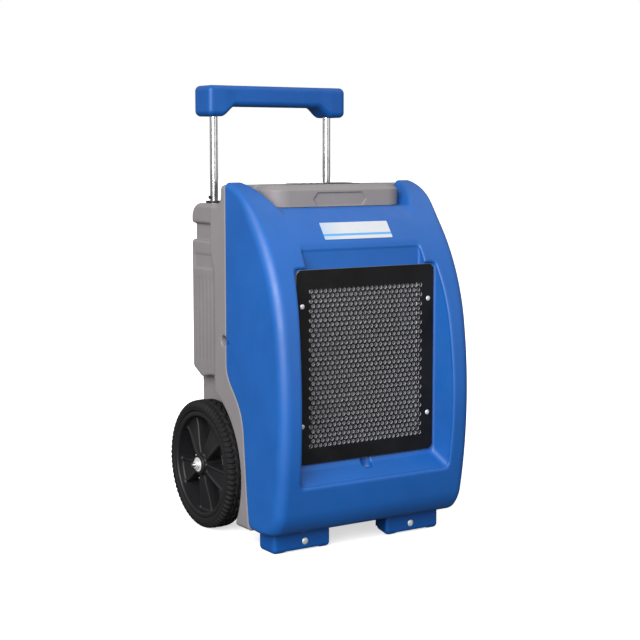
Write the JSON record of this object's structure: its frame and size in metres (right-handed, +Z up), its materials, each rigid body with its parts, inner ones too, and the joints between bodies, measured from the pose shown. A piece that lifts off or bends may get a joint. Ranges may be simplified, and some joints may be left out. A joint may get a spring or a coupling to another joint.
{
  "type": "portable dehumidifier",
  "caption": "Commercial portable dehumidifier: moulded front and rear shells, perforated intake plate with slide-out filter, two wheels, telescopic handle and cooling unit.",
  "frame": {"origin": "on the floor under the middle of the machine's bounding box", "axes": "+X to the right seen from the front, +Y to the back, +Z up; the perforated intake faces -Y"},
  "size_m": [0.4472, 0.4518, 0.8676],
  "materials": {
    "blue_shell": "satin rotomoulded polyethylene",
    "grey_shell": "satin rotomoulded polyethylene",
    "blue_part": "satin moulded plastic",
    "label": "plain printed film",
    "black_steel": "satin black powder coat",
    "screw_steel": "bright zinc",
    "coated_screw": "blue coated head",
    "filter_alu": "mill finish",
    "mesh_alu": "expanded foil",
    "galvanised": "galvanised sheet",
    "fin_alu": "thin sheet",
    "copper": "drawn copper tube",
    "tray_plastic": "moulded",
    "black_plastic": "moulded",
    "clear_hose": "translucent hose",
    "black_paint": "gloss black",
    "grommet_rubber": "moulded",
    "tyre_rubber": "semi-solid tyre",
    "rim_plastic": "moulded nylon",
    "chrome_tube": "polished",
    "axle_steel": "turned",
    "board_green": "circuit board",
    "display_glass": "tinted window",
    "button_grey": "moulded",
    "rocker_red": "moulded",
    "capacitor_alu": "drawn can"
  },
  "bodies": {
    "housing": {"front_shell": "blue_shell", "rear_shell": "grey_shell", "housing_screws": "coated_screw", "label_plate": "label", "grille_plate": "black_steel", "grille_screws": "screw_steel", "foot_left": "blue_part", "foot_right": "blue_part", "foot_brackets": "galvanised", "foot_screws": "screw_steel", "base_pan": "galvanised", "coil_frames": "galvanised", "evaporator_fins": "fin_alu", "evaporator_tubes": "copper", "condenser_fins": "fin_alu", "condenser_tubes": "copper", "drip_tray": "tray_plastic", "condensate_pump": "black_plastic", "drain_hoses": "clear_hose", "drain_barb": "black_plastic", "compressor": "black_paint", "compressor_grommets": "grommet_rubber", "compressor_bolts": "screw_steel", "accumulator": "black_paint", "refrigerant_pipes": "copper", "filter_drier": "copper", "capillary_tube": "copper", "fan_shroud": "tray_plastic", "fan_motor": "black_paint", "motor_bracket": "galvanised", "outlet_grille": "black_plastic", "electrical_box": "galvanised", "run_capacitor": "capacitor_alu", "power_inlet": "black_plastic", "switch_housing": "black_plastic", "control_panel": "black_plastic", "control_board": "board_green", "display_window": "display_glass", "axle": "axle_steel", "wheel_hardware": "screw_steel", "tube_guides": "black_plastic", "tube_collars": "black_plastic"},
    "wheel_left": {"rim_left": "rim_plastic", "tyre_left": "tyre_rubber"},
    "wheel_right": {"rim_right": "rim_plastic", "tyre_right": "tyre_rubber"},
    "handle": {"handle_tubes": "chrome_tube", "handle_grip": "blue_part", "handle_screws": "screw_steel"},
    "snap_left": {"snap_button_left": "black_plastic"},
    "snap_right": {"snap_button_right": "black_plastic"},
    "filter": {"filter_frame": "filter_alu", "filter_mesh": "mesh_alu"},
    "fan": {"fan_shaft": "axle_steel", "fan_blades": "black_plastic"},
    "power_key": {"button_power": "button_grey"},
    "up_key": {"button_up": "button_grey"},
    "down_key": {"button_down": "button_grey"},
    "purge_key": {"button_purge": "button_grey"},
    "rocker": {"power_rocker": "rocker_red"}
  },
  "joints": [
    {"name": "wheel_left_spin", "type": "hinge", "parent": "housing", "child": "wheel_left", "pos_m": [-0.185, 0.0989, 0.127], "axis": [1, 0, 0], "continuous": true},
    {"name": "wheel_right_spin", "type": "hinge", "parent": "housing", "child": "wheel_right", "pos_m": [0.185, 0.0989, 0.127], "axis": [1, 0, 0], "continuous": true},
    {"name": "handle_slide", "type": "slide", "parent": "housing", "child": "handle", "axis": [0, 0, 1], "range_m": [-0.165, 0.18]},
    {"name": "snap_left_press", "type": "slide", "parent": "handle", "child": "snap_left", "axis": [1, 0, 0], "range_m": [0, 0.004]},
    {"name": "snap_right_press", "type": "slide", "parent": "handle", "child": "snap_right", "axis": [-1, 0, 0], "range_m": [0, 0.004]},
    {"name": "filter_slide", "type": "slide", "parent": "housing", "child": "filter", "axis": [0, 0, 1], "range_m": [0, 0.36]},
    {"name": "fan_spin", "type": "hinge", "parent": "housing", "child": "fan", "pos_m": [0, -0.02, 0.38], "axis": [0, 1, 0], "continuous": true},
    {"name": "rocker_tilt", "type": "hinge", "parent": "housing", "child": "rocker", "pos_m": [-0.09, 0.192, 0.22], "axis": [1, 0, 0], "range_deg": [0, 16]},
    {"name": "power_key_press", "type": "slide", "parent": "housing", "child": "power_key", "axis": [0, 0, -1], "range_m": [0, 0.0012]},
    {"name": "up_key_press", "type": "slide", "parent": "housing", "child": "up_key", "axis": [0, 0, -1], "range_m": [0, 0.0012]},
    {"name": "down_key_press", "type": "slide", "parent": "housing", "child": "down_key", "axis": [0, 0, -1], "range_m": [0, 0.0012]},
    {"name": "purge_key_press", "type": "slide", "parent": "housing", "child": "purge_key", "axis": [0, 0, -1], "range_m": [0, 0.0012]}
  ]
}
